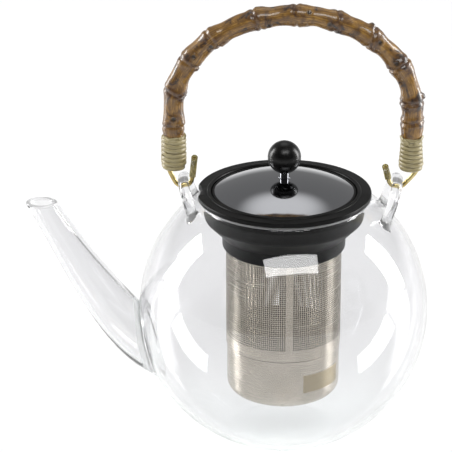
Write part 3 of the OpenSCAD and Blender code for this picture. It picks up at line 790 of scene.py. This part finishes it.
# Phenolic ball, tumbled to a soft shine, with a faint orange-peel skin.
phenolic, tree, where = new_finish("phenolic_tumbled")
peel = put(tree, "TexNoise", {"Vector": where, "Scale": 420.0, "Detail": 2.0})
soft = put(tree, "MapRange", {
    "Value": peel, "From Min": 0.3, "From Max": 0.7, "To Min": 0.26, "To Max": 0.34})
skin = put(tree, "Bump", {"Strength": 0.06, "Distance": 0.0001, "Height": peel})
jet = put(tree, "BsdfPrincipled", {
    "Base Color": tone("#070707"), "Roughness": soft, "IOR": 1.5,
    "Specular IOR Level": 0.3, "Normal": skin})
put(tree, "OutputMaterial", {"Surface": jet})
KNOB_R, KNOB_Z = 9.15, 163.755
foot_turn = degrees(asin(3.4 / KNOB_R))
knob_outline = ([(ROD_R + 0.01, KNOB_Z - 8.2), (3.1, KNOB_Z - 8.75)]
                + arc(0, KNOB_Z, KNOB_R, -90 + foot_turn, 90, 56)
                + [(0, KNOB_Z + 0.2), (ROD_R + 0.01, KNOB_Z + 0.1)])
knob = turned("press_knob", knob_outline, phenolic, 96)
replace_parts(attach(knob, "plunger"), "plunger_knob")

# Silicone: milky, half clear, dull.
silicone, tree, where = new_finish("silicone_milky")
bloom = put(tree, "TexNoise", {"Vector": where, "Scale": 300.0, "Detail": 2.0})
milky = put(tree, "ValToRGB", {
    "Fac": bloom, "stops": [(0.3, tone("#d2d2cc")), (0.7, tone("#e2e2dc"))]})
rubber = put(tree, "BsdfPrincipled", {
    "Base Color": milky, "Roughness": 0.5, "IOR": 1.41,
    "Subsurface Weight": 0.2, "Subsurface Scale": 0.002})
put(tree, "OutputMaterial", {"Surface": rubber})


def refinish(node, finish):
    """Gives a CAD node, whose shape is right as it is, its material."""
    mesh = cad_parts[node].data
    mesh.materials.clear()
    mesh.materials.append(finish)


for node, finish in (("plunger_rod", polished), ("press_plate", black_plastic),
                     ("press_seal", silicone), ("rod_nut", brushed)):
    refinish(node, finish)


# ---------------------------------------------------------------- bamboo bail
# A length of bamboo root, steamed and bent, then lacquered. Each joint has a
# raised, slanting double ring, dark root scars and reddish-brown mottling.

ARCH_X, ARCH_Z, ARCH_A, ARCH_B, LEG = 4.35, 192.455, 64.65, 52.7, 34.0
BAMBOO_R, BAIL_END_R = 5.75, 5.2
JOINTS = (-9, 3, 27, 49, 68, 87, 106, 130, 148, 168, 189)
# Ridges and the groove of one joint: (height, mm past the joint, width)
RING_WAVES = ((0.5, 0, 1.1), (-0.3, 1.8, 0.5), (0.55, 3.4, 1.7), (0.6, -2.5, 3.0))


def bail_point(u):
    """Middle line: 0 to 180 degrees is the arch, beyond that mm down the legs."""
    if u < 0:
        return ARCH_X + ARCH_A, ARCH_Z + u
    if u > 180:
        return ARCH_X - ARCH_A, ARCH_Z - (u - 180)
    return ARCH_X + ARCH_A * cos(radians(u)), ARCH_Z + ARCH_B * sin(radians(u))


us = np.concatenate([np.linspace(-LEG, 0, 60, endpoint=False),
                     np.linspace(0, 180, 400, endpoint=False), np.linspace(180, 180 + LEG, 61)])
line = np.array([bail_point(u) for u in us])
ran = np.concatenate([[0], np.cumsum(np.linalg.norm(np.diff(line, axis=0), axis=1))])
joint_at = np.interp(JOINTS, us, ran)
BAIL_STEP, BAIL_SIDES = 0.42, 44
s = np.arange(0, ran[-1], BAIL_STEP)
mid = np.column_stack([np.interp(s, ran, line[:, 0]), np.interp(s, ran, line[:, 1])])
flow = np.gradient(mid, axis=0)
for _ in range(6):
    flow[1:-1] = (flow[:-2] + flow[1:-1] * 2 + flow[2:]) / 4
flow /= np.linalg.norm(flow, axis=1)[:, None]
theta = np.linspace(0, 2 * pi, BAIL_SIDES, endpoint=False)
S, T = np.meshgrid(s, theta, indexing="ij")
dice = np.random.default_rng(11)
radius = np.full(S.shape, BAMBOO_R)
gap = np.full(S.shape, 99.0)
for i, place in enumerate(joint_at):
    slant, phase = dice.uniform(0.5, 1.6), dice.uniform(0, 2 * pi)
    size = dice.uniform(0.75, 1.15)
    off = S - place - slant * np.cos(T - phase)
    for height, past, width in RING_WAVES:
        radius += size * height * np.exp(-((off - past) / width) ** 2)
    gap = np.minimum(gap, np.abs(off - 1.2))
# Between joints the stem is waisted and never quite round
bends = np.interp(s, joint_at, np.arange(len(joint_at))) % 1
radius += (-0.35 * np.sin(pi * bends) + 0.1 * np.sin(2 * pi * bends))[:, None]
for _ in range(14):
    long_wave, turns, way = dice.uniform(9, 40), dice.integers(1, 4), dice.uniform(0, 2 * pi)
    radius += 0.055 * np.sin(S * 2 * pi / long_wave + turns * T + way)
# Root scars and cut knobs: (joint, degrees round, mm past the ring, height)
scar = np.zeros(S.shape)
SCARS = ((8, 262, -3.0, -0.5), (7, 285, 4.5, -0.4), (6, 300, -4.0, -0.4), (3, 250, -3.5, -0.4),
         (3, 182, 4.0, 1.5), (1, 184, 3.5, 1.4), (9, 10, 2.5, 0.9), (8, 352, 3.0, 0.8),
         (0, 176, 2.5, 0.8), (4, 280, 5.0, -0.35), (5, 232, -4.5, -0.4), (2, 268, 4.0, -0.45),
         (6, 90, -3.5, -0.5), (3, 80, 3.0, 1.1), (8, 70, 3.5, -0.5), (1, 100, -3.0, -0.5),
         (10, 271, -4.0, -0.35), (5, 60, 3.0, 0.9), (2, 20, -3.0, 0.7), (9, 120, 3.0, -0.4))
for which, around, past, height in SCARS:
    turn_gap = (T - radians(around) + pi) % (2 * pi) - pi
    away = np.hypot(S - joint_at[which] - past, turn_gap * BAMBOO_R)
    if height > 0:
        radius += height * np.exp(-(away / 1.7) ** 4) - 0.3 * np.exp(-(away / 0.6) ** 2)
    else:
        radius += 0.5 * np.exp(-((away - 1.55) / 0.45) ** 2) + height * np.exp(-(away / 0.8) ** 2)
    scar = np.maximum(scar, np.exp(-(away / 1.35) ** 4))
inside = np.clip((18.2 - np.minimum(S, ran[-1] - S)) / 1.2, 0, 1)
radius = radius * (1 - inside) + (BAIL_END_R - 0.1) * inside
side_x, side_z = -flow[:, 1], flow[:, 0]
stem = np.stack([mid[:, 0, None] + side_x[:, None] * radius * np.cos(T),
                 radius * np.sin(T),
                 mid[:, 1, None] + side_z[:, None] * radius * np.cos(T)], axis=-1)

# Lacquered bamboo root: golden brown with fibres drawn 0.4 mm wide along it,
# darker and redder round the joints, almost black in the scars.
bamboo, tree, where = new_finish("bamboo_root_lacquered")
grain_at = put(tree, "Attribute", {"attribute_name": "grain"}).outputs["Vector"]
to_joint = put(tree, "Attribute", {"attribute_name": "to_joint"}).outputs["Fac"]
in_scar = put(tree, "Attribute", {"attribute_name": "in_scar"}).outputs["Fac"]
fibre_at = put(tree, "Mapping", {"Vector": grain_at, "Scale": (0.05, 1.0, 1.0)})
fibres = put(tree, "TexNoise", {"Vector": fibre_at, "Scale": 2.4, "Detail": 4.0, "Roughness": 0.6})
blots = put(tree, "TexNoise", {
    "Vector": grain_at, "Scale": 0.16, "Detail": 5.0, "Roughness": 0.62, "Distortion": 0.6})
specks = put(tree, "TexNoise", {"Vector": grain_at, "Scale": 0.55, "Detail": 4.0, "Roughness": 0.7})
golden = put(tree, "ValToRGB", {
    "Fac": fibres, "stops": [
        (0.28, tone("#55380a")), (0.5, tone("#805a17")), (0.72, tone("#bf9344"))]})
mottle = put(tree, "MapRange", {"Value": blots, "From Min": 0.45, "From Max": 0.60})
near = put(tree, "MapRange", {
    "Value": to_joint, "From Min": 0.5, "From Max": 7.0, "To Min": 0.95, "To Max": 0.0})
ring_dark = put(tree, "Math", {"operation": "MULTIPLY", 0: near, 1: specks})
reddish = put(tree, "Math", {
    "operation": "MULTIPLY_ADD", 0: mottle, 1: 0.72, 2: ring_dark, "use_clamp": True})
browned = put(tree, "Mix", {"data_type": "RGBA", 0: reddish, 6: golden, 7: tone("#4c2d0a")})
black_blots = put(tree, "MapRange", {
    "Value": blots, "From Min": 0.585, "From Max": 0.66, "To Max": 0.92})
darkest = put(tree, "Math", {"operation": "MAXIMUM", 0: black_blots, 1: in_scar})
stem_colour = put(tree, "Mix", {
    "data_type": "RGBA", 0: darkest, 6: browned.outputs[2], 7: tone("#1c1004")})
fibre_relief = put(tree, "Bump", {"Strength": 0.35, "Distance": 0.00025, "Height": fibres})
speck_relief = put(tree, "Bump", {
    "Strength": 0.3, "Distance": 0.0004, "Height": specks, "Normal": fibre_relief})
lacquered = put(tree, "BsdfPrincipled", {
    "Base Color": stem_colour.outputs[2], "Roughness": 0.45, "IOR": 1.5,
    "Normal": speck_relief, "Coat Weight": 0.6, "Coat Roughness": 0.05})
put(tree, "OutputMaterial", {"Surface": lacquered})

bail = skinned("bamboo_root", stem, bamboo)
mesh = bail.data
extra = len(mesh.vertices) - S.size


def stem_data(name, kind, values):
    """Point data on the stem; the two end points repeat the last value."""
    values = np.concatenate([values, np.repeat(values[-1:], extra, axis=0)])
    layer = mesh.attributes.new(name, kind, "POINT")
    layer.data.foreach_set("vector" if kind == "FLOAT_VECTOR" else "value",
                           values.astype(np.float32).ravel())


stem_data("grain", "FLOAT_VECTOR", np.stack(
    [S, 6 * np.cos(T), 6 * np.sin(T)], axis=-1).reshape(-1, 3))
stem_data("to_joint", "FLOAT", gap.ravel())
stem_data("in_scar", "FLOAT", scar.ravel())
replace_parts(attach(bail, "handle"), "bamboo_bail")


# ---------------------------------------------------------------- cane bindings
# Split cane, 2.6 mm wide and flat, wound tightly round each end of the bamboo
# over the shank of the hook. The end of the strip is tucked under the turns.

CANE_Z, CANE_H = 156.455, 20.6

# Peeled cane: pale khaki, waxy, with fibres along the strip.
cane, tree, where = new_finish("split_cane")
fibre_at = put(tree, "Mapping", {"Vector": where, "Scale": (260, 260, 3200)})
fibres = put(tree, "TexNoise", {"Vector": fibre_at, "Scale": 1.0, "Detail": 3.0})
stains = put(tree, "TexNoise", {"Vector": where, "Scale": 210.0, "Detail": 3.0})
khaki = put(tree, "ValToRGB", {
    "Fac": fibres, "stops": [
        (0.3, tone("#87794f")), (0.5, tone("#9e926a")), (0.7, tone("#b8ad88"))]})
stained = put(tree, "MapRange", {
    "Value": stains, "From Min": 0.52, "From Max": 0.75, "To Max": 0.45})
cane_colour = put(tree, "Mix", {"data_type": "RGBA", 0: stained, 6: khaki, 7: tone("#7c6c42")})
cane_relief = put(tree, "Bump", {"Strength": 0.4, "Distance": 0.00012, "Height": fibres})
waxy = put(tree, "BsdfPrincipled", {
    "Base Color": cane_colour.outputs[2], "Roughness": 0.42, "IOR": 1.5,
    "Normal": cane_relief, "Coat Weight": 0.25, "Coat Roughness": 0.3})
put(tree, "OutputMaterial", {"Surface": waxy})

wind, given, end = new_tree("wound_cane", {
    "Turns": "Float", "Height": "Float", "Foot Height": "Float", "Low Radius": "Float",
    "Top Radius": "Float", "Waist": "Float", "Tuck": "Float", "Strip Width": "Float",
    "Strip Thickness": "Float", "Gap": "Float", "Leg X": "Float"})
coil = put(wind, "GeometryNodeCurveSpiral", {
    "Resolution": 56, "Rotations": given["Turns"], "Start Radius": 1.0, "End Radius": 1.0,
    "Height": given["Height"]})
spot = put(wind, "SeparateXYZ", {0: put(wind, "GeometryNodeInputPosition", {})})
up = put(wind, "Math", {"operation": "DIVIDE", 0: spot.outputs["Z"], 1: given["Height"]})
straight = put(wind, "Mix", {
    "data_type": "FLOAT", 0: up, 2: given["Low Radius"], 3: given["Top Radius"]})
down = put(wind, "Math", {"operation": "SUBTRACT", 0: 1.0, 1: up})
hump = put(wind, "Math", {"operation": "MULTIPLY", 0: up, 1: down})
waist_at = put(wind, "Math", {"operation": "MULTIPLY", 0: hump, 1: given["Waist"]})
waisted = put(wind, "Math", {"operation": "SUBTRACT", 0: straight, 1: waist_at})
fade = put(wind, "Math", {"operation": "POWER", 0: down, 1: 14.0, "use_clamp": True})
tucked = put(wind, "Math", {"operation": "MULTIPLY", 0: fade, 1: given["Tuck"]})
reach = put(wind, "Math", {"operation": "SUBTRACT", 0: waisted, 1: tucked})
over_half = put(wind, "Math", {"operation": "GREATER_THAN", 0: up, 1: 0.48})
lifted = put(wind, "Math", {
    "operation": "MULTIPLY_ADD", 0: over_half, 1: given["Gap"], 2: spot.outputs["Z"]})
legs = [put(wind, "Math", {"operation": "MULTIPLY", 0: spot.outputs[axis], 1: reach})
        for axis in ("X", "Y")]
x_at = put(wind, "Math", {"operation": "ADD", 0: legs[0], 1: given["Leg X"]})
z_at = put(wind, "Math", {"operation": "ADD", 0: lifted, 1: given["Foot Height"]})
on_leg = put(wind, "CombineXYZ", {0: x_at, 1: legs[1], 2: z_at})
wound = put(wind, "GeometryNodeSetPosition", {"Geometry": coil, "Position": on_leg})
upright = put(wind, "GeometryNodeSetCurveNormal", {"mode": "Z_UP", "Curve": wound})
half_sizes = [put(wind, "Math", {"operation": "MULTIPLY", 0: given[label], 1: 0.5})
              for label in ("Strip Thickness", "Strip Width")]
ring = put(wind, "GeometryNodeCurvePrimitiveCircle", {
    "mode": "RADIUS", "Resolution": 10, "Radius": 1.0})
strip_size = put(wind, "CombineXYZ", {0: half_sizes[0], 1: half_sizes[1], 2: 1.0})
strip_shape = put(wind, "GeometryNodeTransform", {"Geometry": ring, "Scale": strip_size})
strip_mesh = put(wind, "GeometryNodeCurveToMesh", {
    "Curve": upright, "Profile Curve": strip_shape, "Fill Caps": True})
with_core = put(wind, "GeometryNodeJoinGeometry", {"Geometry": [strip_mesh, given["Geometry"]]})
real = put(wind, "GeometryNodeRealizeInstances", {0: with_core})
done = put(wind, "GeometryNodeSetMaterial", {"Geometry": real, "Material": cane})
wind.links.new(done.outputs[0], end)


def bound(name, leg_x, low_r, top_r, waist, gap, turns):
    """Core of under-turns with the outer strip wound on it."""
    heights = np.linspace(0.08, 1, 14)
    wall = [(low_r + (top_r - low_r) * h - waist * h * (1 - h) - 0.9, CANE_Z + CANE_H * h - 0.5)
            for h in heights]
    foot = [(0, CANE_Z + 0.1), (low_r - 3.2, CANE_Z + 0.1), (low_r - 1.6, CANE_Z + 0.7)]
    socket = [(BAIL_END_R - 0.3, CANE_Z + CANE_H - 0.3), (BAIL_END_R - 0.3, CANE_Z + 3),
              (0, CANE_Z + 3)]
    core = turned(name, foot + wall + socket, cane, 48, x=leg_x)
    grow(core, wind, {
        "Turns": turns, "Height": (CANE_H - 3.0 - gap) * MM, "Foot Height": (CANE_Z + 1.7) * MM,
        "Low Radius": (low_r - 0.55) * MM, "Top Radius": (top_r - 0.55) * MM, "Waist": waist * MM,
        "Tuck": 1.0 * MM, "Strip Width": (CANE_H - 3.0) / turns * 0.94 * MM,
        "Strip Thickness": 1.2 * MM, "Gap": gap * MM, "Leg X": leg_x * MM})
    outward_again(core, cane, 50)
    return core


def tail(leg_x, radius, points):
    """End of the strip across the turns, through (degrees, height) points."""
    path = [(radius * cos(radians(a)) + leg_x, radius * sin(radians(a)), CANE_Z + z)
            for a, z in points]
    path = np.array(path)
    t = np.linspace(0, len(path) - 1, 24)
    path = np.column_stack([np.interp(t, range(len(path)), path[:, k]) for k in range(3)])
    flow = np.gradient(path, axis=0)
    flow /= np.linalg.norm(flow, axis=1)[:, None]
    out = path - (leg_x, 0, 0)
    out[:, 2] = 0
    out /= np.linalg.norm(out, axis=1)[:, None]
    wide = np.cross(flow, out)
    ring_turn = np.linspace(0, 2 * pi, 10, endpoint=False)
    thin = np.interp(np.linspace(0, 1, 24), [0, 0.12, 0.88, 1], [0.2, 1, 1, 0.2])
    return skinned("tail", path[:, None] + thin[:, None, None] * (
        0.42 * np.cos(ring_turn)[None, :, None] * out[:, None]
        + 1.15 * np.sin(ring_turn)[None, :, None] * wide[:, None]), cane)


front_cane = bound("cane_front", -60.3, 7.1, 6.8, 0.0, 0.55, 7.0)
gathered(front_cane, [tail(-60.3, 6.75, [(-160, 19.6), (-110, 18.8), (-60, 19.8)])])
rear_cane = bound("cane_rear", 69.0, 7.25, 6.0, 1.2, 0.0, 7.5)
gathered(rear_cane, [
    tail(69.0, 6.45, [(-175, 20.2), (-140, 19.0), (-100, 16.4)]),
    tail(69.0, 6.45, [(-5, 20.2), (-40, 19.0), (-84, 16.4)])])
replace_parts(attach(front_cane, "handle"), "front_binding")
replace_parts(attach(rear_cane, "handle"), "rear_binding")


# ---------------------------------------------------------------- hooks
# Brass wire, 2.4 mm, bent to a hook under each glass loop. Its free tip is
# covered with clear vinyl tube, gone yellow, so that it can't chip the glass.

HOOK_R, WIRE_R, VINYL_R, HOOK_Z, SHANK_TOP = 5.0, 1.2, 1.8, 151.555, 167.455

# Drawn brass wire: yellow, faintly scored along its length, a little tarnish.
brass, tree, where = new_finish("brass_drawn")
tarnish = put(tree, "TexNoise", {"Vector": where, "Scale": 330.0, "Detail": 4.0})
yellow = put(tree, "ValToRGB", {
    "Fac": tarnish, "stops": [(0.35, tone("#a8935a")), (0.65, tone("#d2c38d"))]})
worn = put(tree, "MapRange", {
    "Value": tarnish, "From Min": 0.3, "From Max": 0.7, "To Min": 0.2, "To Max": 0.34})
scratches = put(tree, "Bump", {"Strength": 0.15, "Distance": 0.00005, "Height": tarnish})
wire_metal = put(tree, "BsdfPrincipled", {
    "Base Color": yellow, "Metallic": 1.0, "Roughness": worn, "Normal": scratches})
put(tree, "OutputMaterial", {"Surface": wire_metal})

# Soft vinyl: clear but hazy, olive-yellow, with small dents.
vinyl, tree, where = new_finish("vinyl_aged")
haze = put(tree, "TexNoise", {"Vector": where, "Scale": 500.0, "Detail": 3.0})
aged = put(tree, "ValToRGB", {
    "Fac": haze, "stops": [(0.3, tone("#a39860")), (0.7, tone("#d0c796"))]})
dents = put(tree, "Bump", {"Strength": 0.3, "Distance": 0.0001, "Height": haze})
clear_vinyl = put(tree, "BsdfPrincipled", {
    "Base Color": aged, "Roughness": 0.16, "IOR": 1.53,
    "Transmission Weight": 0.72, "Normal": dents})
lamp_ray = put(tree, "LightPath", {}).outputs["Is Shadow Ray"]
let_by = put(tree, "BsdfTransparent", {"Color": tone("#d8cfa6")})
either = put(tree, "MixShader", {0: lamp_ray, 1: clear_vinyl, 2: let_by})
put(tree, "OutputMaterial", {"Surface": either})


def softened(path, rounds=3):
    """Cuts the corners of a path, so that bent wire has round bends."""
    path = np.asarray(path, float)
    for _ in range(rounds):
        a, b = path[:-1] * 0.75 + path[1:] * 0.25, path[:-1] * 0.25 + path[1:] * 0.75
        path = np.vstack([path[:1], np.stack([a, b], 1).reshape(-1, 3)[1:-1], path[-1:]])
    return path


def at_loop(rings, side, place):
    """Rings of a hook, mirrored and moved to the glass loop it hangs in."""
    return np.asarray(rings) * (side, 1, 1) + place


# Name, side, loop top x, shank x, lean of shank and tip, tip's straight and bent length
HOOKS = (("front", -1, 55.3, 8.4, 27, 6, 9.0, 4.5), ("rear", 1, 61.9, 11.7, 42, 13, 5.5, 3.5))
for name, side, loop_x, shank_u, out_lean, tip_lean, tip_len, bent_len in HOOKS:
    lean, tip = radians(out_lean), radians(tip_lean)
    climb = (shank_u - HOOK_R * cos(lean)) / sin(lean)
    low = np.array([shank_u, 0, -HOOK_R * sin(lean) + climb * cos(lean)])
    way = np.array([-sin(tip), 0, cos(tip)])
    bent = way + (0, -0.75, 0)
    bent /= np.linalg.norm(bent)
    tip_start = np.array([-HOOK_R * cos(tip), 0, -HOOK_R * sin(tip)])
    tip_bend = tip_start + tip_len * way
    tip_end = tip_bend + bent_len * bent
    bow = [(HOOK_R * cos(a), 0, HOOK_R * sin(a))
           for a in np.linspace(-lean, -(pi - tip), 34)]
    shank_top = (low[0], 0, SHANK_TOP - HOOK_Z)
    path = np.vstack([
        softened([shank_top, low, bow[0]]), bow[1:], [tip_bend - way],
        softened([tip_bend - way, tip_bend, tip_end])[1:]])
    sleeve = np.vstack([[tip_start + way], [tip_bend - way],
                        softened([tip_bend - way, tip_bend, tip_end + 1.2 * bent])[1:]])
    place = np.array([side * loop_x, 0, HOOK_Z])
    hook = skinned("hook_" + name, at_loop(tube(path, WIRE_R, 20), side, place), brass, sharp=60)
    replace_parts(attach(hook, "handle"), name + "_hook")
    walls = np.concatenate([tube(sleeve, VINYL_R, 24), tube(sleeve, WIRE_R + 0.05, 24)[::-1]])
    cover = skinned("vinyl_" + name, at_loop(walls, side, place), vinyl, looped=True, sharp=60)
    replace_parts(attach(cover, "handle"), name + "_hook_sleeve")
